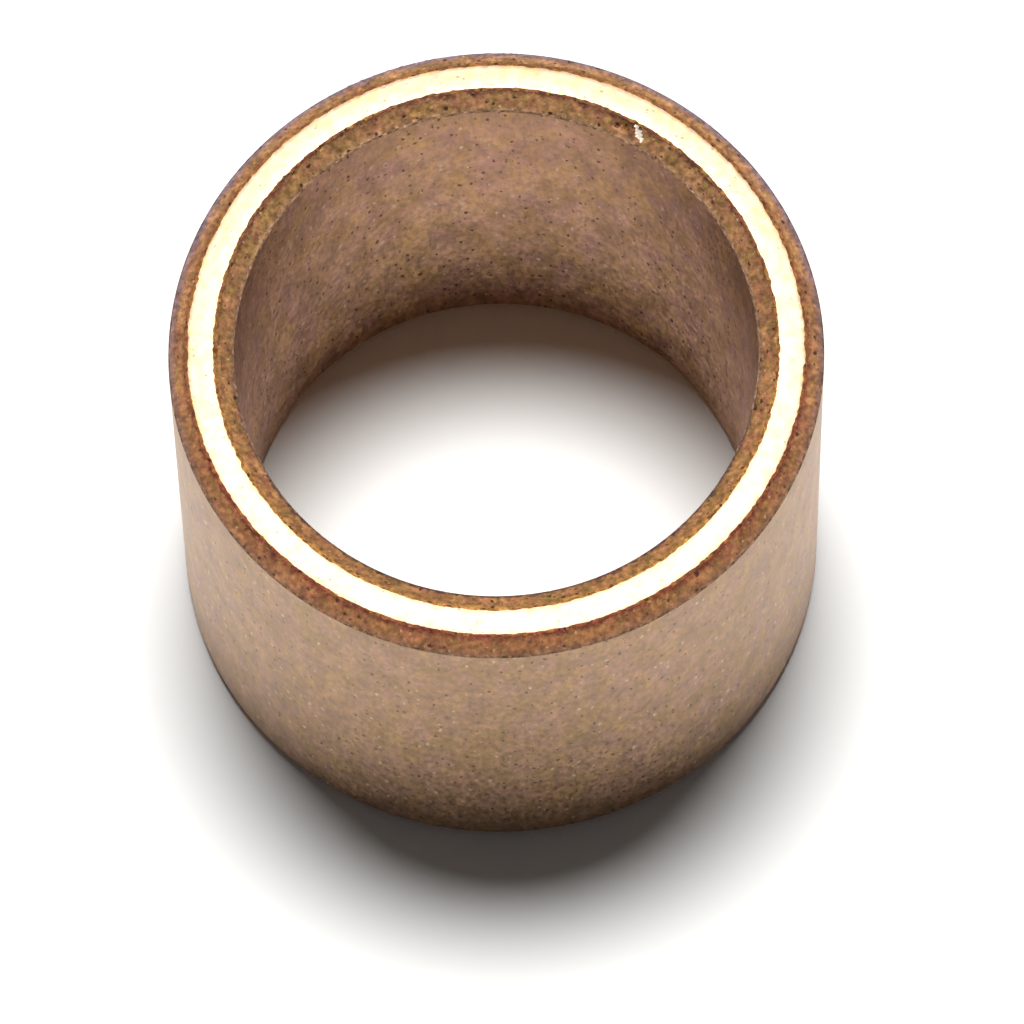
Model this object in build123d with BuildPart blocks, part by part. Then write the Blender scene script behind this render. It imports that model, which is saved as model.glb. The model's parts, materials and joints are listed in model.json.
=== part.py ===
"""Plain sleeve bushing in sintered, oil-filled bronze, for a 1/2 in shaft in a 5/8 in housing.

Millimetres. The bushing stands on one end: the origin is the middle of its lower end, and +Z runs
up the axis of the bore. It is one pressed and sintered piece, the same from either end.
"""

import os

from build123d import *

# Driving dimensions: the usual finished sizes of a 1/2 x 5/8 x 1/2 in sintered bushing.
OUTSIDE_DIAMETER = 15.95
BORE_DIAMETER = 12.75
LENGTH = 12.7

# The pressing tools leave a chamfer at both corners of each end. It is shallower than 45 degrees:
# ACROSS is taken off the end face, and DEEP is taken off the wall.
OUTER_CHAMFER_ACROSS = 0.445
OUTER_CHAMFER_DEEP = 0.34
INNER_CHAMFER_ACROSS = 0.47
INNER_CHAMFER_DEEP = 0.31

outside_radius = OUTSIDE_DIAMETER / 2
bore_radius = BORE_DIAMETER / 2
end_outer_radius = outside_radius - OUTER_CHAMFER_ACROSS
end_inner_radius = bore_radius + INNER_CHAMFER_ACROSS

os.makedirs("parts", exist_ok=True)

# The wall's section, from the bore's lower corner round to its upper one, turned about the bore.
with BuildPart() as sleeve:
    with BuildSketch(Plane.XZ) as wall_section:
        with BuildLine() as wall_outline:
            Polyline(
                (bore_radius, INNER_CHAMFER_DEEP),
                (end_inner_radius, 0),
                (end_outer_radius, 0),
                (outside_radius, OUTER_CHAMFER_DEEP),
                (outside_radius, LENGTH - OUTER_CHAMFER_DEEP),
                (end_outer_radius, LENGTH),
                (end_inner_radius, LENGTH),
                (bore_radius, LENGTH - INNER_CHAMFER_DEEP),
                close=True,
            )
        make_face()
    revolve(axis=Axis.Z)

sleeve.part.label = "sleeve"
export_step(sleeve.part, "parts/sleeve.step")
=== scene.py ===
"""A plain sleeve bushing in sintered, oil-filled bronze, standing on end on a pale table.

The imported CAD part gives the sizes. The sleeve is modelled over it at a finer resolution, with the
crumbly rims that pressing leaves and a finish for each tool that shaped it.
"""

import json
import math

import bmesh
import bpy
from bpy.props import FloatProperty, FloatVectorProperty, PointerProperty
from mathutils import Euler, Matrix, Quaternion, Vector

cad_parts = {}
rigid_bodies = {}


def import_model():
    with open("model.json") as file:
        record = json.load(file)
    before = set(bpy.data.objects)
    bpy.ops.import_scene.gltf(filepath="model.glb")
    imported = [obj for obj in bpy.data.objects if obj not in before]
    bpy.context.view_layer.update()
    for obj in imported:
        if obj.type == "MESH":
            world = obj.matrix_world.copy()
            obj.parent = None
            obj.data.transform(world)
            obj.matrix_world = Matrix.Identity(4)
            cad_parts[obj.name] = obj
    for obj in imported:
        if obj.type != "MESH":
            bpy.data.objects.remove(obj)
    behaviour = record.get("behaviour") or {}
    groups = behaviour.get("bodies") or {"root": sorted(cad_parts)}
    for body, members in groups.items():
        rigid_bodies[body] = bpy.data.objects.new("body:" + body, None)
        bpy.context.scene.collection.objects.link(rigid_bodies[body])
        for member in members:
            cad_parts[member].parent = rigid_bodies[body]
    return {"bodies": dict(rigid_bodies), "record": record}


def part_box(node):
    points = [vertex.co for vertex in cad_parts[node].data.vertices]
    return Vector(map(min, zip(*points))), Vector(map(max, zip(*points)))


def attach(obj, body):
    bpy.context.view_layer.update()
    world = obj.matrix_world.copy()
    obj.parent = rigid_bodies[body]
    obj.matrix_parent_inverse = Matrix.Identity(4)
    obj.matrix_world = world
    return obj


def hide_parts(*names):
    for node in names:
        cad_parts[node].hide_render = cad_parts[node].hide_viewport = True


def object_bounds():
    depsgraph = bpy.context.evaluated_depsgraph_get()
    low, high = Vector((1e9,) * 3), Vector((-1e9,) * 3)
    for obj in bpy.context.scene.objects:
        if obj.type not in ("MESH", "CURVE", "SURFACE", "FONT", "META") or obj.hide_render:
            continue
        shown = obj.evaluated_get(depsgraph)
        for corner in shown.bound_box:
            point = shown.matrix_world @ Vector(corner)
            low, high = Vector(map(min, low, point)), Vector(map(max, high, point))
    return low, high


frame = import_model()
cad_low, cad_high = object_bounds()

bl_info = {
    "name": "Sintered bronze sleeve bushing",
    "version": (1, 0, 0),
    "blender": (4, 5, 0),
    "location": "View3D > Sidebar > Bushing",
    "description": "Models a plain sintered bronze bushing and the table it stands on",
    "category": "Object",
}

# One millimetre, in metres.
MM = 0.001

BODY = next(iter(frame["bodies"]))
NODE = "sleeve"
BORE_MOUNT = next(m for m in frame["record"]["mounts"] if m["name"] == "bore")
NODE_LOW, NODE_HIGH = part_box(NODE)

# How finely the sleeve is divided: round it, up its walls, and across each band of an end.
SECTORS = 1440
WALL_CUTS = 3
CHAMFER_CUTS = 6
RIM_SEGMENTS = 1

# The flat end's rings, from its outer border in, and how many of them the punch rounds off.
END_RINGS = 5
CROWNED_RINGS = 3

# Corners sharper than this stay crisp when the sleeve is shaded smooth.
CRISP_ANGLE = math.radians(24)

# The sizes of the relief: clumps of powder, which set how the crumbled edges wander and break up,
# the crumbs along them, and the lumps and grains of the chamfers. The lumps are this share of the
# grains' depth.
CLUMP_MM = 0.3
CRUMB_MM = 0.12
CHAMFER_LUMP_MM = 0.25
CHAMFER_GRAIN_MM = 0.1
CHAMFER_LUMP_SHARE = 0.6

# How softly the teeth of a crumbled edge end, as a share of their depth.
TEETH_EDGE = 0.25

# Over this much of the sleeve, either side of its axis, a finish turns from its front colour to its
# back colour. The split is painted light and shade: each side is coloured as the softbox behind
# the sleeve lights it.
PAINTED_LIGHT_BLEND_MM = 3.5

# A noise gathers round its middle value: these stretches of it are used from end to end.
CLOUD_PATCH = (0.46, 0.62)
CLOUD_SHADE = (0.35, 0.65)
GRAIN_RANGE = (0.3, 0.7)

# How far the powder pushes a pore out of round, and how softly its edge ends, as a share of its
# cell.
PORE_NUDGE_MM = 0.12
PORE_EDGE = 0.22

# A band edge with no crumbled border.
NO_BORDER = (None, None, 0, 0)

# How far a normal points along the axis: the least on the blank's ends, the most on a wall before
# the face counts as part of a corner, and the least on the upper end's faces.
END_FACING = 0.9
WALL_LEAN = 0.1
FACES_UP = 0.1

# How much bare metal shows through oil, dirt or torn grains: all of it, under half, hardly any.
BARE = 1.0
OILED = 0.45
CAKED = 0.1

# The colours that go with each band's own metal, which is in the settings: the metal at the back,
# its redder and its yellower blotches, its pores and its burnished grains. The metal at the back
# differs from the front's, in the settings, as painted light and shade.
WALL_TAN = ("#BA9A7E", "#AA8478", "#A98950", "#6C5244", "#CBB198")
BORE_TAN = ("#BA9779", "#B68E8A", "#B8965A", "#664C3E", "#D2BAA0")
OUTER_BROWN = ("#BC8A60", "#925A48", "#9C7642", "#54342A", "#D0A078")
INNER_BROWN = ("#A87A52", "#8E5644", "#967840", "#4A2A20", "#D0A27A")
COINED_END = ("#CDB092", "#CBA88E", "#CDB07E", "#A0805A", "#E2D2BE")

# The same for the rims between the bands and for torn metal, with the front's metal first. The
# rims' front and back metals differ as painted light and shade, such as the painted shade along the
# back of the outer corner and the front of the bore corner.
OUTER_BORDER = ("#7C3C28", "#94642E", "#74342A", "#94622E", "#3A1C14", "#B88458")
INNER_BORDER = ("#B07E40", "#643A26", "#6C3424", "#94682E", "#3A2218", "#C89858")
OUTER_CORNER = ("#B88E70", "#3E3038", "#A07A66", "#8C7864", "#4A3830", "#D8BCA4")
BORE_CORNER = ("#5A403C", "#BE9678", "#B08672", "#B4906A", "#765846", "#D8BCA2")
TORN_WHITE = ("#EFE4D8", "#EFE4D8", "#E4D0C0", "#E8DCC0", "#8A6A50", "#FBF6EE")

# The crumbled edges of the bands: the colour at the front and at the back, then the reach and the
# depth of the teeth, as shares of the band's half width. Oil has crept into these edges, and the
# change of their colour from front to back is painted light and shade.
OUTER_CHAMFER_TO_WALL = ("#9C6E4E", "#92767A", 0.7, 1.2)
OUTER_CHAMFER_TO_END = ("#7C3A26", "#8E5E2C", 0.75, 1.6)
INNER_CHAMFER_TO_BORE = ("#583E40", "#B08864", 0.5, 1.4)
INNER_CHAMFER_TO_END = ("#B08040", "#643424", 0.47, 1.6)
END_TO_INNER_CHAMFER = ("#B08850", "#845A3E", 0.07, 0.3)
END_TO_OUTER_CHAMFER = ("#94563A", "#A07440", 0.07, 0.3)

# The stage: the side of the table and how far the camera sees, in metres, where it aims from the
# middle of the upper end, and its sensor.
TABLE_SIZE = 6
FAR_CLIP = 20
AIM_MM = Vector((0.285, -4.34, 0))
SENSOR_WIDTH_MM = 36

# Chips in the upper end: the angle round from +X in degrees, and in mm the distance out from the
# axis, the size and the push along the axis.
CHIPS = (
    (60.3, 6.68, 0.15, -0.11),
    (62.2, 6.63, 0.11, -0.08),
    (-143.0, 7.57, 0.09, 0.04),
    (-140.9, 7.56, 0.07, -0.05),
    (179.0, 6.8, 0.1, -0.07),
    (176.4, 6.74, 0.1, 0.05),
    (182.5, 6.7, 0.12, 0.05),
    (128.0, 6.82, 0.09, -0.06),
    (-62.0, 7.55, 0.09, -0.05),
)

# A chip is pushed by its middle and dirty over its floor: their radii, as shares of its size.
CHIP_MIDDLE = 0.4
CHIP_FLOOR = 0.5

# The fresh nick across the inner chamfer: its angle, its start and end out from the axis in mm, its
# width and how far its far end slants round, in mm, and the depth that it is cut to.
NICK = (57.4, 6.54, 6.86, 0.27, 0.34, -0.03)


# ---------------------------------------------------------------- colours and nodes


def linear(hex_colour):
    """An sRGB colour such as "#C08A5A" as linear red, green, blue and alpha."""
    channels = [int(hex_colour[i : i + 2], 16) / 255 for i in (1, 3, 5)]
    return [c / 12.92 if c <= 0.04045 else ((c + 0.055) / 1.055) ** 2.4 for c in channels] + [1.0]


def per_metre(size_mm):
    """The texture scale that draws one feature every size_mm on Object coordinates."""
    return 1 / (size_mm * MM)


def add_node(tree, kind, settings=None, inputs=None):
    """Add a node, set its settings, and give each input its value or the output that feeds it."""
    node = tree.nodes.new(kind)
    for name, value in (settings or {}).items():
        setattr(node, name, value)
    for name, value in (inputs or {}).items():
        if isinstance(value, bpy.types.NodeSocket):
            tree.links.new(value, node.inputs[name])
        else:
            node.inputs[name].default_value = value
    return node


def new_material(name):
    """An empty node material and its tree."""
    material = bpy.data.materials.new(name)
    material.use_nodes = True
    material.node_tree.nodes.clear()
    return material, material.node_tree


def sintered_finish(name, front, colours, band, borders, blotch, grain, pores, specks, roughness,
                    relief_mm, metallic=BARE, drawn=1.0, grazing="#FFFFFF"):
    """Bronze powder pressed and sintered to about four fifths solid.

    The eye sees a soft metal sheen, mottled pink and olive where tin and oil vary, broken by the
    powder's grain, by dark oily pores and by a few bright grains that the tool has rubbed flat.

    front is the linear colour of the metal at the front of the sleeve. colours are the metal at its
    back, which differs from the front as painted light and shade, then its redder and its yellower
    blotches, its pores and its burnished grains.
    band is how the band is crossed ("out" from the axis or "along" it from mid length) and where
    its middle and its half width lie, in mm.
    borders is, for the crumbled edge at its low and at its high side, the colour at the front and
    the back, the reach and the depth of its teeth, as shares of the half width.
    blotch is a size in mm and the strength of hue and of shade, and grain a size in mm and a
    strength. pores and specks are a spacing in mm, a share of the places filled and a largest size.
    roughness is its least and most, relief_mm the depth of the bump and metallic how much bare
    metal shows. drawn is how much longer the sizing tool has drawn the grain along the axis, and
    grazing is the tint of what the metal reflects at a glancing angle, where open pores swallow
    part of the light.

    The real powder's grains and pores are 0.02 to 0.1 mm across, too fine to show. They are drawn
    at 0.08 to 0.17 mm, as coarse as they need to be to show, and their relief is shallow to match.
    """
    material, tree = new_material(name)
    back, red, yellow, pore, bright = (linear(c) for c in colours)
    place = add_node(tree, "ShaderNodeTexCoord").outputs["Object"]
    cut = add_node(tree, "ShaderNodeSeparateXYZ", inputs={"Vector": place})
    drawn_place = add_node(tree, "ShaderNodeVectorMath", {"operation": "MULTIPLY"}, {
        0: place, 1: (1, 1, 1 / drawn)}).outputs[0]

    # Where on the band this is: -1 at its low side, 1 at its high side.
    direction, middle_mm, half_mm = band
    if direction == "out":
        level = add_node(tree, "ShaderNodeVectorMath", {"operation": "MULTIPLY"}, {
            0: place, 1: (1, 1, 0)})
        reach = add_node(tree, "ShaderNodeVectorMath", {"operation": "LENGTH"}, {
            0: level.outputs[0]})
        from_start = reach.outputs["Value"]
    else:
        above = add_node(tree, "ShaderNodeMath", {"operation": "SUBTRACT"}, {
            0: cut.outputs["Z"], 1: (NODE_LOW.z + NODE_HIGH.z) / 2})
        from_start = add_node(tree, "ShaderNodeMath", {"operation": "ABSOLUTE"}, {
            0: above.outputs[0]}).outputs[0]
    across = add_node(tree, "ShaderNodeMapRange", {"clamp": False}, {
        "Value": from_start, "From Min": (middle_mm - half_mm) * MM,
        "From Max": (middle_mm + half_mm) * MM, "To Min": -1.0, "To Max": 1.0})

    # Blotches: three fields that don't follow each other, for redder, yellower and darker metal.
    blotch_mm, blotch_hue, blotch_shade = blotch
    clouds = add_node(tree, "ShaderNodeTexNoise", inputs={
        "Vector": drawn_place, "Scale": per_metre(blotch_mm), "Detail": 3.0, "Roughness": 0.6})
    field = add_node(tree, "ShaderNodeSeparateColor", inputs={"Color": clouds.outputs["Color"]})
    red_part = add_node(tree, "ShaderNodeMapRange", inputs={
        "Value": field.outputs["Red"], "From Min": CLOUD_PATCH[0], "From Max": CLOUD_PATCH[1],
        "To Max": blotch_hue})
    yellow_part = add_node(tree, "ShaderNodeMapRange", inputs={
        "Value": field.outputs["Green"], "From Min": CLOUD_PATCH[0], "From Max": CLOUD_PATCH[1],
        "To Max": blotch_hue})
    # Painted light and shade: the metal turns from its front colour to its back colour across the
    # axis, as the sleeve's sides are lit.
    painted_light_side = add_node(tree, "ShaderNodeMapRange", inputs={
        "Value": cut.outputs["Y"], "From Min": -PAINTED_LIGHT_BLEND_MM * MM,
        "From Max": PAINTED_LIGHT_BLEND_MM * MM})
    metal = add_node(tree, "ShaderNodeMix", {"data_type": "RGBA"}, {
        "Factor": painted_light_side.outputs["Result"], 6: front, 7: back}).outputs[2]
    reddened = add_node(tree, "ShaderNodeMix", {"data_type": "RGBA"}, {
        "Factor": red_part.outputs["Result"], 6: metal, 7: red})
    tinted = add_node(tree, "ShaderNodeMix", {"data_type": "RGBA"}, {
        "Factor": yellow_part.outputs["Result"], 6: reddened.outputs[2], 7: yellow})
    cloud_shade = add_node(tree, "ShaderNodeMapRange", inputs={
        "Value": field.outputs["Blue"], "From Min": CLOUD_SHADE[0], "From Max": CLOUD_SHADE[1],
        "To Min": 1 - blotch_shade, "To Max": 1 + blotch_shade})

    grain_mm, grain_depth = grain
    powder = add_node(tree, "ShaderNodeTexNoise", inputs={
        "Vector": drawn_place, "Scale": per_metre(grain_mm), "Detail": 2.0, "Roughness": 0.6})
    grain_shade = add_node(tree, "ShaderNodeMapRange", inputs={
        "Value": powder.outputs["Fac"], "From Min": GRAIN_RANGE[0], "From Max": GRAIN_RANGE[1],
        "To Min": 1 - grain_depth, "To Max": 1 + grain_depth})
    shade = add_node(tree, "ShaderNodeMath", {"operation": "MULTIPLY"}, {
        0: cloud_shade.outputs["Result"], 1: grain_shade.outputs["Result"]})
    grained = add_node(tree, "ShaderNodeVectorMath", {"operation": "SCALE"}, {
        0: tinted.outputs[2], "Scale": shade.outputs[0]})

    # The crumbled edges: the border's own colour, in teeth as coarse as the powder's clumps.
    teeth = add_node(tree, "ShaderNodeTexNoise", inputs={
        "Vector": place, "Scale": per_metre(CLUMP_MM), "Detail": 5.0, "Roughness": 0.75})
    colour_now = grained.outputs[0]
    for side, (edge_front, edge_back, edge_reach, edge_teeth) in zip((-1, 1), borders):
        if not edge_front:
            continue
        ragged = add_node(tree, "ShaderNodeMath", {"operation": "MULTIPLY_ADD"}, {
            0: teeth.outputs["Fac"], 1: side * edge_teeth, 2: across.outputs["Result"]})
        # The noise lies round a half, so half of the teeth's depth is taken off again.
        edge_starts = side * (1 + 0.5 * edge_teeth - edge_reach)
        crumbled = add_node(tree, "ShaderNodeMapRange", inputs={
            "Value": ragged.outputs[0], "From Min": edge_starts,
            "From Max": edge_starts + side * TEETH_EDGE * edge_teeth})
        # The border's colour also turns from front to back: painted light and shade.
        edge_colour = add_node(tree, "ShaderNodeMix", {"data_type": "RGBA"}, {
            "Factor": painted_light_side.outputs["Result"], 6: linear(edge_front), 7: linear(edge_back)})
        edge_shaded = add_node(tree, "ShaderNodeVectorMath", {"operation": "SCALE"}, {
            0: edge_colour.outputs[2], "Scale": shade.outputs[0]})
        colour_now = add_node(tree, "ShaderNodeMix", {"data_type": "RGBA"}, {
            "Factor": crumbled.outputs["Result"], 6: colour_now,
            7: edge_shaded.outputs[0]}).outputs[2]

    # Pores and burnished grains: spots of many sizes, each in a cell of its own, none quite round.
    nudge = add_node(tree, "ShaderNodeVectorMath", {"operation": "MULTIPLY_ADD"}, {
        0: powder.outputs["Color"], 1: (PORE_NUDGE_MM * MM,) * 3, 2: drawn_place}).outputs[0]
    spots = {}
    for kind, (spacing_mm, share, largest) in (("speck", specks), ("pore", pores)):
        cells = add_node(tree, "ShaderNodeTexVoronoi", inputs={
            "Vector": nudge, "Scale": per_metre(spacing_mm)})
        draw = add_node(tree, "ShaderNodeSeparateColor", inputs={"Color": cells.outputs["Color"]})
        size = add_node(tree, "ShaderNodeMapRange", inputs={
            "Value": draw.outputs["Red"], "From Min": 1 - share, "From Max": 1.0,
            "To Max": largest})
        inside = add_node(tree, "ShaderNodeMath", {"operation": "SUBTRACT"}, {
            0: size.outputs["Result"], 1: cells.outputs["Distance"]})
        spots[kind] = add_node(tree, "ShaderNodeMapRange", inputs={
            "Value": inside.outputs[0], "From Max": PORE_EDGE})
        colour_now = add_node(tree, "ShaderNodeMix", {"data_type": "RGBA"}, {
            "Factor": spots[kind].outputs["Result"], 6: colour_now,
            7: bright if kind == "speck" else pore}).outputs[2]

    gloss = add_node(tree, "ShaderNodeMapRange", inputs={
        "Value": powder.outputs["Fac"], "From Min": GRAIN_RANGE[0], "From Max": GRAIN_RANGE[1],
        "To Min": roughness[0], "To Max": roughness[1]})
    relief = add_node(tree, "ShaderNodeMath", {"operation": "SUBTRACT"}, {
        0: powder.outputs["Fac"], 1: spots["pore"].outputs["Result"]})
    bump = add_node(tree, "ShaderNodeBump", inputs={
        "Height": relief.outputs[0], "Distance": relief_mm * MM, "Strength": 1.0})
    shader = add_node(tree, "ShaderNodeBsdfPrincipled", inputs={
        "Base Color": colour_now, "Metallic": metallic, "Specular Tint": linear(grazing),
        "Roughness": gloss.outputs["Result"], "Normal": bump.outputs["Normal"]})
    add_node(tree, "ShaderNodeOutputMaterial", inputs={"Surface": shader.outputs["BSDF"]})
    return material


def die_sized_wall(front, colours, band):
    """The outer wall, squeezed smooth by the sizing die: satin, with flattened, drawn out pores."""
    return sintered_finish(
        "die_sized_wall", front, colours, band, (NO_BORDER, NO_BORDER), blotch=(0.6, 0.44, 0.12),
        grain=(0.15, 0.26), pores=(0.15, 0.7, 0.38), specks=(0.17, 0.35, 0.4),
        roughness=(0.36, 0.49), relief_mm=0.004, drawn=1.8)


def sized_bore(front, colours, band):
    """The bore, rubbed by the core rod: as the wall, but darker at a glance over its open pores."""
    return sintered_finish(
        "sized_bore", front, colours, band, (NO_BORDER, NO_BORDER), blotch=(0.75, 0.46, 0.18),
        grain=(0.15, 0.28), pores=(0.15, 0.7, 0.4), specks=(0.17, 0.4, 0.42),
        roughness=(0.36, 0.48), relief_mm=0.005, drawn=1.8, grazing="#E2D2D8")


def pressed_chamfer(name, front, colours, band, borders):
    """Chamfers straight off the punch and never sized: dull, brown and coarse."""
    return sintered_finish(
        name, front, colours, band, borders, blotch=(0.4, 0.62, 0.2), grain=(0.14, 0.38),
        pores=(0.17, 0.5, 0.44), specks=(0.14, 0.4, 0.36), roughness=(0.6, 0.75),
        relief_mm=0.014, metallic=OILED)


def punch_pressed_end(front, colours, band, borders):
    """The flat end, coined bright by the punch: pale and even, with a soft, broad gloss."""
    return sintered_finish(
        "punch_pressed_end", front, colours, band, borders, blotch=(0.3, 0.7, 0.1),
        grain=(0.12, 0.12), pores=(0.14, 0.4, 0.34), specks=(0.12, 0.2, 0.3),
        roughness=(0.52, 0.58), relief_mm=0.003)


def crumbled_rim(name, colours, band, metallic):
    """The thin crumbly rims between the bands, where grains have dropped out and oil collects. Their
    colours change from front to back as painted light and shade.

    The less metallic a rim is, the more oil and dirt cover it.
    """
    return sintered_finish(
        name, linear(colours[0]), colours[1:], band, (NO_BORDER, NO_BORDER),
        blotch=(0.2, 0.9, 0.3), grain=(0.12, 0.5), pores=(0.12, 0.7, 0.45),
        specks=(0.12, 0.3, 0.36), roughness=(0.6, 0.75), relief_mm=0.02, metallic=metallic)


def torn_metal(colours, band):
    """The floor of a fresh nick: torn grains that scatter the light white."""
    return sintered_finish(
        "torn_metal", linear(colours[0]), colours[1:], band, (NO_BORDER, NO_BORDER),
        blotch=(0.2, 0.5, 0.1), grain=(0.08, 0.2), pores=(0.1, 0.2, 0.25),
        specks=(0.1, 0.5, 0.4), roughness=(0.5, 0.6), relief_mm=0.01, metallic=CAKED)


# ---------------------------------------------------------------- settings


class BushingSettings(bpy.types.PropertyGroup):
    """Sizes and colours of the sleeve."""

    outside_radius: FloatProperty(
        name="Outside radius", description="Radius of the outer wall", unit="LENGTH",
        default=NODE_HIGH.x, precision=6)
    bore_radius: FloatProperty(
        name="Bore radius", description="Radius of the bore", unit="LENGTH",
        default=BORE_MOUNT["dims"]["r_mm"] * MM, precision=6)
    length: FloatProperty(
        name="Length", description="Length from end to end", unit="LENGTH",
        default=NODE_HIGH.z - NODE_LOW.z, precision=6)
    outer_chamfer_across: FloatProperty(
        name="Outer chamfer across", description="Width that the outer chamfer takes off the end",
        unit="LENGTH", default=0.445 * MM, precision=6)
    outer_chamfer_deep: FloatProperty(
        name="Outer chamfer depth", description="Height that the outer chamfer takes off the wall",
        unit="LENGTH", default=0.34 * MM, precision=6)
    inner_chamfer_across: FloatProperty(
        name="Inner chamfer across", description="Width that the inner chamfer takes off the end",
        unit="LENGTH", default=0.47 * MM, precision=6)
    inner_chamfer_deep: FloatProperty(
        name="Inner chamfer depth", description="Height that the inner chamfer takes off the bore",
        unit="LENGTH", default=0.31 * MM, precision=6)
    rim_width: FloatProperty(
        name="Rim", description="Width of the crumbled rim between two bands", unit="LENGTH",
        default=0.04 * MM, precision=6)
    crown: FloatProperty(
        name="Crown", description="How far the flat end falls away towards its outer border",
        unit="LENGTH", default=0.038 * MM, precision=6)
    raggedness: FloatProperty(
        name="Raggedness", description="How far the rims wander in and out", unit="LENGTH",
        default=0.06 * MM, precision=6)
    chamfer_relief: FloatProperty(
        name="Chamfer relief", description="Depth of the coarse grain on the chamfers",
        unit="LENGTH", default=0.06 * MM, precision=6)
    # The colours below are each band's metal at the front of the sleeve; the tables above give the
    # back's, which differ from these as painted light and shade.
    wall_colour: FloatVectorProperty(
        name="Wall", description="Metal of the outer wall", subtype="COLOR", size=4,
        default=linear("#A98668"))
    bore_colour: FloatVectorProperty(
        name="Bore", description="Metal of the bore", subtype="COLOR", size=4,
        default=linear("#BA9779"))
    outer_chamfer_colour: FloatVectorProperty(
        name="Outer chamfer", description="Metal of the outer chamfers", subtype="COLOR", size=4,
        default=linear("#A87048"))
    inner_chamfer_colour: FloatVectorProperty(
        name="Inner chamfer", description="Metal of the inner chamfers", subtype="COLOR", size=4,
        default=linear("#B27E50"))
    end_colour: FloatVectorProperty(
        name="End", description="Metal of the flat ends", subtype="COLOR", size=4,
        default=linear("#D0B294"))


class StageSettings(bpy.types.PropertyGroup):
    """The table, the light and the camera."""

    camera_elevation: FloatProperty(
        name="Camera elevation", description="Height of the camera above the horizon",
        subtype="ANGLE", default=math.radians(67.2))
    camera_distance: FloatProperty(
        name="Camera distance", description="From the camera to the middle of the upper end",
        unit="LENGTH", default=0.283)
    camera_roll: FloatProperty(
        name="Camera roll", description="Tilt of the camera about its own line of sight",
        subtype="ANGLE", default=math.radians(-1.28))
    lens: FloatProperty(name="Lens", description="Focal length", unit="CAMERA", default=409.8)
    softbox_power: FloatProperty(
        name="Softbox", description="Power of the softbox overhead", unit="POWER", default=9.0)
    softbox_distance: FloatProperty(
        name="Softbox distance", description="From the sleeve to the softbox", unit="LENGTH",
        default=0.8)
    softbox_width: FloatProperty(
        name="Softbox width", description="How wide the softbox looks from the table, side to side",
        subtype="ANGLE", default=math.radians(22))
    softbox_depth: FloatProperty(
        name="Softbox depth",
        description="How deep the softbox looks from the table, front to back",
        subtype="ANGLE", default=math.radians(17))
    softbox_lean: FloatProperty(
        name="Softbox lean", description="How far the softbox stands behind the sleeve",
        subtype="ANGLE", default=math.radians(12.85))
    softbox_side: FloatProperty(
        name="Softbox side", description="How far the softbox stands to the right of the sleeve",
        subtype="ANGLE", default=math.radians(-0.4))
    room_strength: FloatProperty(
        name="Room light", description="Strength of the light from all round", default=0.075)
    table_colour: FloatVectorProperty(
        name="Table", description="Paint of the table", subtype="COLOR", size=4,
        default=linear("#F4F4F2"))


# ---------------------------------------------------------------- picking


def active_piece():
    """The object that the last operator left active."""
    return bpy.context.view_layer.objects.active


def only(obj):
    """Select and activate one object alone, in object mode."""
    if bpy.context.mode != "OBJECT":
        bpy.ops.object.mode_set(mode="OBJECT")
    bpy.ops.object.select_all(action="DESELECT")
    obj.select_set(True)
    bpy.context.view_layer.objects.active = obj


def select(obj, kind, test):
    """In edit mode, select only the verts, edges or faces that pass the test."""
    bpy.ops.mesh.select_mode(type={"verts": "VERT", "edges": "EDGE", "faces": "FACE"}[kind])
    bpy.ops.mesh.select_all(action="DESELECT")
    mesh = bmesh.from_edit_mesh(obj.data)
    chosen = [item for item in getattr(mesh, kind) if test(item)]
    for item in chosen:
        item.select_set(True)
    mesh.select_flush_mode()
    bmesh.update_edit_mesh(obj.data)
    if not chosen:
        raise RuntimeError(f"no {kind} of {obj.name} pass the test")


def out_from_axis(point):
    """Distance from the axis of the bore."""
    return math.hypot(point.x, point.y)


def edge_run(e):
    """How far an edge goes along the axis, and out from it."""
    a, b = (v.co for v in e.verts)
    return abs(a.z - b.z), abs(out_from_axis(a) - out_from_axis(b))


# ---------------------------------------------------------------- the sleeve


class BUSHING_OT_sleeve(bpy.types.Operator):
    """Model the sleeve and give each band its finish"""

    bl_idname = "bushing.sleeve"
    bl_label = "Make the sleeve"

    def execute(self, context):
        s = context.scene.bushing
        sleeve = shape_sleeve(s)
        finish_bands(sleeve, s)
        roughen_rims(sleeve, s)
        knock_chips(sleeve, s)
        only(sleeve)
        bpy.ops.object.shade_smooth_by_angle(angle=CRISP_ANGLE, keep_sharp_edges=True)
        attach(sleeve, BODY)
        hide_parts(NODE)
        return {"FINISHED"}


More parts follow.
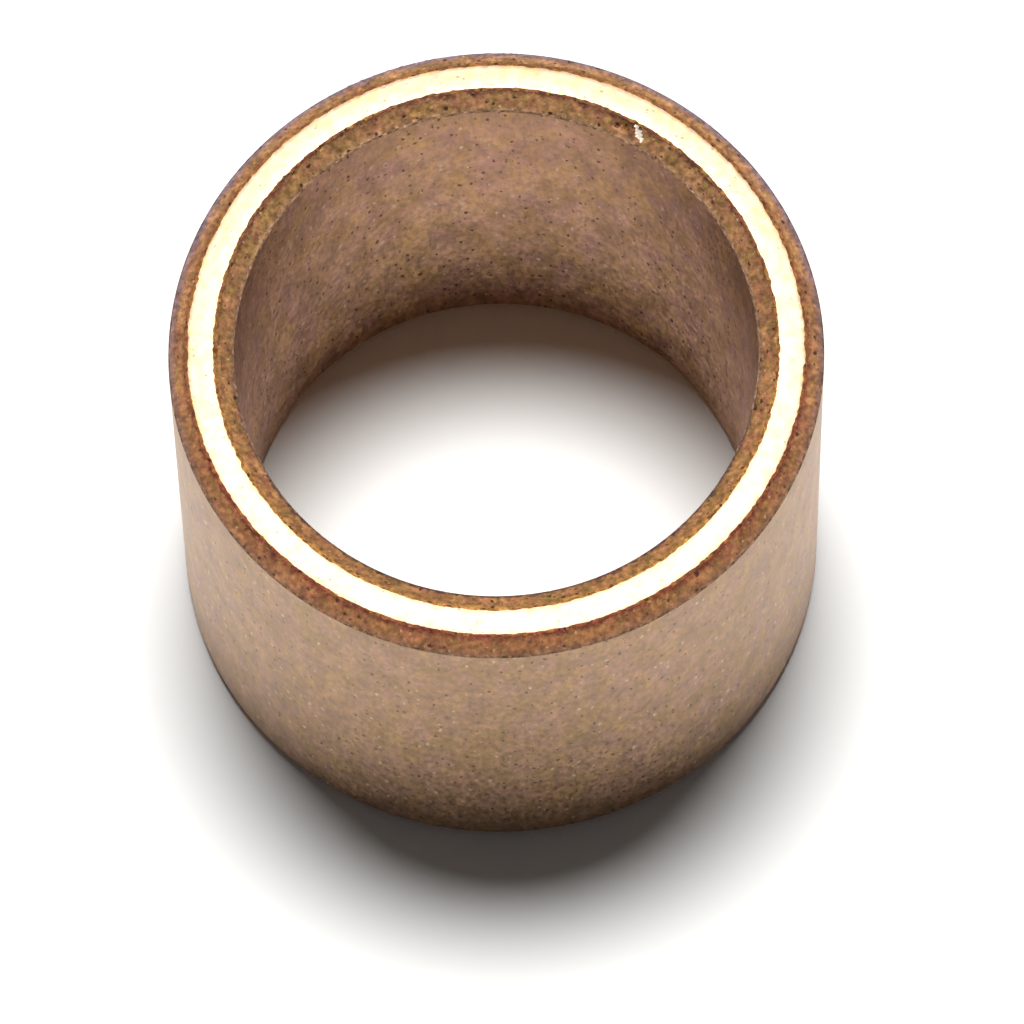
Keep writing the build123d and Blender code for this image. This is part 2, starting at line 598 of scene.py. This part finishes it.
def shape_sleeve(s):
    """A round blank, bored through, chamfered and crowned at both ends, its corners broken."""
    bpy.ops.object.select_all(action="DESELECT")
    bpy.ops.mesh.primitive_cylinder_add(
        vertices=SECTORS, radius=s.outside_radius, depth=s.length, end_fill_type="NGON",
        location=(0, 0, s.length / 2))
    sleeve = active_piece()
    sleeve.name = sleeve.data.name = "bronze_sleeve"
    bpy.ops.object.transform_apply(location=True, rotation=True, scale=True)
    bpy.ops.object.mode_set(mode="EDIT")

    # The ends: a ring for the outer chamfer, the rings of the flat, and one for the inner chamfer.
    end_out = s.outside_radius - s.outer_chamfer_across
    end_in = s.bore_radius + s.inner_chamfer_across
    flat_ring = (end_out - end_in) / END_RINGS
    select(sleeve, "faces", lambda f: abs(f.normal.z) > END_FACING)
    for ring in [s.outer_chamfer_across] + [flat_ring] * END_RINGS + [s.inner_chamfer_across]:
        bpy.ops.mesh.inset(thickness=ring, use_even_offset=True)
    bpy.ops.mesh.delete(type="FACE")
    select(sleeve, "edges", lambda e: e.is_boundary)
    bpy.ops.mesh.bridge_edge_loops()

    # The chamfers push the wall's and the bore's corners in along the axis. The crown does the same
    # for the outer rings of the flat, each less than the last.
    pushes = [(s.outside_radius, s.outer_chamfer_deep), (s.bore_radius, s.inner_chamfer_deep)]
    pushes += [(end_out - flat_ring * i, s.crown * (1 - i / CROWNED_RINGS))
               for i in range(CROWNED_RINGS)]

    # Points this near to a ring belong to it, and an edge that runs less than this lies level.
    near = flat_ring / 4
    level = 0.01 * near
    for radius, deep in pushes:
        for end, way in ((s.length, -1), (0, 1)):
            select(sleeve, "verts", lambda v: abs(out_from_axis(v.co) - radius) < near
                   and abs(v.co.z - end) < near)
            bpy.ops.transform.translate(value=(0, 0, way * deep))

    # The rims: the four corners of each end are broken.
    corners = (s.outside_radius, end_out, end_in, s.bore_radius)
    select(sleeve, "edges", lambda e: max(edge_run(e)) < level
           and min(abs(out_from_axis(e.verts[0].co) - c) for c in corners) < near)
    bpy.ops.mesh.bevel(
        offset_type="OFFSET", offset=s.rim_width, segments=RIM_SEGMENTS, affect="EDGES")

    # The long walls are cut into shorter faces, and the chamfers finely enough to carry relief.
    select(sleeve, "edges", lambda e: edge_run(e)[0] > s.length / 2)
    bpy.ops.mesh.subdivide(number_cuts=WALL_CUTS)
    more_than_a_rim = 5 * s.rim_width
    select(sleeve, "edges", lambda e: min(edge_run(e)) > more_than_a_rim)
    bpy.ops.mesh.subdivide(number_cuts=CHAMFER_CUTS)

    # The walls' ends stay crisp, so that the rims' relief doesn't shade the smooth walls.
    walls = (s.outside_radius, s.bore_radius)
    select(sleeve, "edges", lambda e: edge_run(e)[0] < level
           and min(abs(out_from_axis(e.verts[0].co) - wall) for wall in walls) < level)
    bpy.ops.mesh.mark_sharp()
    bpy.ops.object.mode_set(mode="OBJECT")
    return sleeve


def band_of(face, s):
    """Which band of the sleeve a face belongs to, by its place."""
    out = out_from_axis(face.calc_center_median())
    deep = min(face.calc_center_median().z, s.length - face.calc_center_median().z)
    end_out = s.outside_radius - s.outer_chamfer_across
    end_in = s.bore_radius + s.inner_chamfer_across
    width = s.rim_width
    slack = width / 10
    outside = out > (end_out + end_in) / 2
    chamfer_deep = s.outer_chamfer_deep if outside else s.inner_chamfer_deep
    if deep > chamfer_deep + slack:
        corner = abs(face.normal.z) > WALL_LEAN
        if outside:
            return "outer_corner" if corner else "wall"
        return "bore_corner" if corner else "bore"
    if out > end_out + width:
        return "outer_corner" if out > s.outside_radius - width else "outer_chamfer"
    if out < end_in - width:
        return "bore_corner" if out < s.bore_radius + width else "inner_chamfer"
    if end_in + width < out < end_out - width:
        return "end"
    return "outer_border" if outside else "inner_border"


def finish_bands(sleeve, s):
    """Give the faces of each band their finish."""
    half_length = s.length / 2 / MM
    end_out = (s.outside_radius - s.outer_chamfer_across) / MM
    end_in = (s.bore_radius + s.inner_chamfer_across) / MM
    flat = ("out", (end_out + end_in) / 2, (end_out - end_in) / 2)
    outer = ("along", half_length - s.outer_chamfer_deep / 2 / MM, s.outer_chamfer_deep / 2 / MM)
    inner = ("along", half_length - s.inner_chamfer_deep / 2 / MM, s.inner_chamfer_deep / 2 / MM)
    whole = ("along", 0, half_length - s.outer_chamfer_deep / MM)

    finishes = {
        "wall": die_sized_wall(s.wall_colour, WALL_TAN, whole),
        "bore": sized_bore(s.bore_colour, BORE_TAN, whole),
        "outer_chamfer": pressed_chamfer(
            "outer_pressed_chamfer", s.outer_chamfer_colour, OUTER_BROWN, outer,
            (OUTER_CHAMFER_TO_WALL, OUTER_CHAMFER_TO_END)),
        "inner_chamfer": pressed_chamfer(
            "inner_pressed_chamfer", s.inner_chamfer_colour, INNER_BROWN, inner,
            (INNER_CHAMFER_TO_BORE, INNER_CHAMFER_TO_END)),
        "end": punch_pressed_end(
            s.end_colour, COINED_END, flat, (END_TO_INNER_CHAMFER, END_TO_OUTER_CHAMFER)),
        "outer_border": crumbled_rim("crumbled_outer_border", OUTER_BORDER, flat, OILED),
        "inner_border": crumbled_rim("crumbled_inner_border", INNER_BORDER, flat, OILED),
        "outer_corner": crumbled_rim("crumbled_outer_corner", OUTER_CORNER, outer, BARE),
        "bore_corner": crumbled_rim("crumbled_bore_corner", BORE_CORNER, inner, CAKED),
    }
    only(sleeve)
    for material in finishes.values():
        sleeve.data.materials.append(material)
    bpy.ops.object.mode_set(mode="EDIT")
    for slot, band in enumerate(finishes):
        select(sleeve, "faces", lambda f: band_of(f, s) == band)
        sleeve.active_material_index = slot
        bpy.ops.object.material_slot_assign()
    bpy.ops.object.mode_set(mode="OBJECT")


def roughen_rims(sleeve, s):
    """Let the rims wander in and out, and pit the chamfers, but leave the walls' ends round."""
    end_out = s.outside_radius - s.outer_chamfer_across
    end_in = s.bore_radius + s.inner_chamfer_across
    near = 2 * s.rim_width
    kept_clear = s.rim_width / 4
    rims, chamfers = [], []
    for v in sleeve.data.vertices:
        out = out_from_axis(v.co)
        at_end = min(v.co.z, s.length - v.co.z)
        if min(abs(out - end_out), abs(out - end_in)) < near and at_end < near + s.crown:
            rims.append(v.index)
        elif at_end < s.outer_chamfer_deep + near and (
                end_out < out < s.outside_radius - kept_clear
                or s.bore_radius + kept_clear < out < end_in):
            chamfers.append(v.index)
    for name, members in (("rims", rims), ("chamfers", chamfers)):
        sleeve.vertex_groups.new(name=name)
        sleeve.vertex_groups[name].add(members, 1.0, "REPLACE")
    # Two kinds of noise, so that the moves along X and along Y don't follow each other.
    for axis, basis in (("X", "BLENDER_ORIGINAL"), ("Y", "ORIGINAL_PERLIN")):
        displace(sleeve, f"rim wander {axis}", "rims", axis, CLUMP_MM, s.raggedness, basis)
        displace(sleeve, f"rim crumbs {axis}", "rims", axis, CRUMB_MM, s.raggedness, basis)
    displace(sleeve, "chamfer lumps", "chamfers", "NORMAL", CHAMFER_LUMP_MM,
             CHAMFER_LUMP_SHARE * s.chamfer_relief, "BLENDER_ORIGINAL")
    displace(sleeve, "chamfer grains", "chamfers", "NORMAL", CHAMFER_GRAIN_MM,
             s.chamfer_relief, "ORIGINAL_PERLIN")


def displace(piece, name, group, direction, size_mm, strength, basis):
    """Move the group's points by a cloudy pattern of the given feature size, and apply it."""
    clouds = bpy.data.textures.new(name, "CLOUDS")
    clouds.noise_scale = size_mm * MM
    clouds.noise_depth = 1
    clouds.noise_basis = basis
    only(piece)
    modifier = piece.modifiers.new(name, "DISPLACE")
    modifier.texture = clouds
    modifier.texture_coords = "LOCAL"
    modifier.direction = direction
    modifier.vertex_group = group
    modifier.strength = strength
    modifier.mid_level = 0.5
    bpy.ops.object.modifier_apply(modifier=name)


def knock_chips(sleeve, s):
    """The marks of handling on the upper end: small chips, and one fresh nick."""
    only(sleeve)
    bpy.ops.object.mode_set(mode="EDIT")
    for angle, out_mm, size_mm, push_mm in CHIPS:
        spot = Quaternion((0, 0, 1), math.radians(angle)) @ Vector((out_mm * MM, 0, 0))
        select(sleeve, "verts", lambda v: v.co.z > s.length / 2
               and (v.co.to_2d() - spot.to_2d()).length < CHIP_MIDDLE * size_mm * MM)
        bpy.ops.transform.translate(
            value=(0, 0, push_mm * MM), use_proportional_edit=True,
            proportional_edit_falloff="SMOOTH", proportional_size=size_mm * MM)
        if push_mm < 0:  # the chip's floor is darkened: oil and dirt in it, and painted shade in the hollow
            select(sleeve, "faces", lambda f: f.normal.z > FACES_UP and (
                f.calc_center_median().to_2d() - spot.to_2d()).length < CHIP_FLOOR * size_mm * MM)
            sleeve.active_material_index = sleeve.data.materials.find("crumbled_inner_border")
            bpy.ops.object.material_slot_assign()

    angle, start_mm, end_mm, width_mm, slant_mm, push_mm = NICK
    turn = Quaternion((0, 0, 1), math.radians(-angle))

    def in_nick(point):
        """Whether a point lies in the nick, a slanting drop, blunt where it starts."""
        near = turn @ point / MM
        along = (near.x - start_mm) / (end_mm - start_mm)
        if point.z < s.length / 2 or not 0 < along < 1:
            return False
        half_width = width_mm * (1 - along) * math.sqrt(along)
        return abs(near.y - slant_mm * (along - 0.5)) < half_width

    select(sleeve, "verts", lambda v: in_nick(v.co))
    bpy.ops.transform.translate(value=(0, 0, push_mm * MM))
    sleeve.data.materials.append(torn_metal(
        TORN_WHITE, ("out", (start_mm + end_mm) / 2, (end_mm - start_mm) / 2)))
    select(sleeve, "faces", lambda f: in_nick(f.calc_center_median()))
    sleeve.active_material_index = len(sleeve.data.materials) - 1
    bpy.ops.object.material_slot_assign()
    bpy.ops.object.mode_set(mode="OBJECT")


# ---------------------------------------------------------------- the stage


class BUSHING_OT_stage(bpy.types.Operator):
    """Lay the table, hang the softbox and set the camera"""

    bl_idname = "bushing.stage"
    bl_label = "Set the stage"

    def execute(self, context):
        t = context.scene.bushing_stage
        bpy.ops.object.select_all(action="DESELECT")
        bpy.ops.mesh.primitive_plane_add(size=TABLE_SIZE, location=(0, 0, 0))
        table = active_piece()
        table.name = "table"
        # Matt white board: pale and even, so that it lights the walls and mirrors nothing.
        material, tree = new_material("white_table")
        paint = add_node(tree, "ShaderNodeBsdfPrincipled", inputs={
            "Base Color": t.table_colour, "Roughness": 0.8})
        add_node(tree, "ShaderNodeOutputMaterial", inputs={"Surface": paint.outputs["BSDF"]})
        table.data.materials.append(material)

        world = context.scene.world or bpy.data.worlds.new("room")
        context.scene.world = world
        world.use_nodes = True
        world.node_tree.nodes.clear()
        room = add_node(world.node_tree, "ShaderNodeBackground", inputs={
            "Color": linear("#F4F4F4"), "Strength": t.room_strength})
        add_node(world.node_tree, "ShaderNodeOutputWorld", inputs={"Surface": room.outputs[0]})

        # One broad soft light, high up and a little behind the sleeve.
        turn = Euler((-t.softbox_lean, t.softbox_side, 0))
        half_way_up = Vector((0, 0, cad_high.z / 2))
        bpy.ops.object.light_add(
            type="AREA", rotation=turn,
            location=half_way_up + turn.to_matrix() @ Vector((0, 0, t.softbox_distance)))
        softbox = active_piece()
        softbox.name = "softbox"
        softbox.data.shape = "ELLIPSE"
        softbox.data.size = 2 * t.softbox_distance * math.tan(t.softbox_width / 2)
        softbox.data.size_y = 2 * t.softbox_distance * math.tan(t.softbox_depth / 2)
        softbox.data.energy = t.softbox_power

        end_middle = Vector((0, 0, cad_high.z))
        back = Vector((0, -math.cos(t.camera_elevation), math.sin(t.camera_elevation)))
        place = end_middle + back * t.camera_distance
        aim = end_middle + AIM_MM * MM
        bpy.ops.object.camera_add(location=place)
        camera = active_piece()
        turn = (aim - place).to_track_quat("-Z", "Y") @ Quaternion((0, 0, 1), t.camera_roll)
        camera.rotation_euler = turn.to_euler()
        camera.data.lens = t.lens
        camera.data.sensor_width = SENSOR_WIDTH_MM
        camera.data.clip_end = FAR_CLIP
        context.scene.camera = camera
        context.scene.view_settings.view_transform = "Standard"
        return {"FINISHED"}


# ---------------------------------------------------------------- the add-on


class BUSHING_PT_sidebar(bpy.types.Panel):
    """The add-on's buttons"""

    bl_idname = "BUSHING_PT_sidebar"
    bl_label = "Sleeve bushing"
    bl_space_type = "VIEW_3D"
    bl_region_type = "UI"
    bl_category = "Bushing"

    def draw(self, context):
        for operator in (BUSHING_OT_sleeve, BUSHING_OT_stage):
            self.layout.operator(operator.bl_idname)
        for group in (context.scene.bushing, context.scene.bushing_stage):
            column = self.layout.column()
            for name in group.bl_rna.properties.keys():
                if name not in ("rna_type", "name"):
                    column.prop(group, name)


CLASSES = (BushingSettings, StageSettings, BUSHING_OT_sleeve, BUSHING_OT_stage, BUSHING_PT_sidebar)


def register():
    for cls in CLASSES:
        bpy.utils.register_class(cls)
    bpy.types.Scene.bushing = PointerProperty(type=BushingSettings)
    bpy.types.Scene.bushing_stage = PointerProperty(type=StageSettings)


def unregister():
    del bpy.types.Scene.bushing_stage
    del bpy.types.Scene.bushing
    for cls in reversed(CLASSES):
        bpy.utils.unregister_class(cls)


def main():
    register()
    bpy.ops.bushing.sleeve()
    bpy.ops.bushing.stage()


if __name__ == "__main__":
    main()
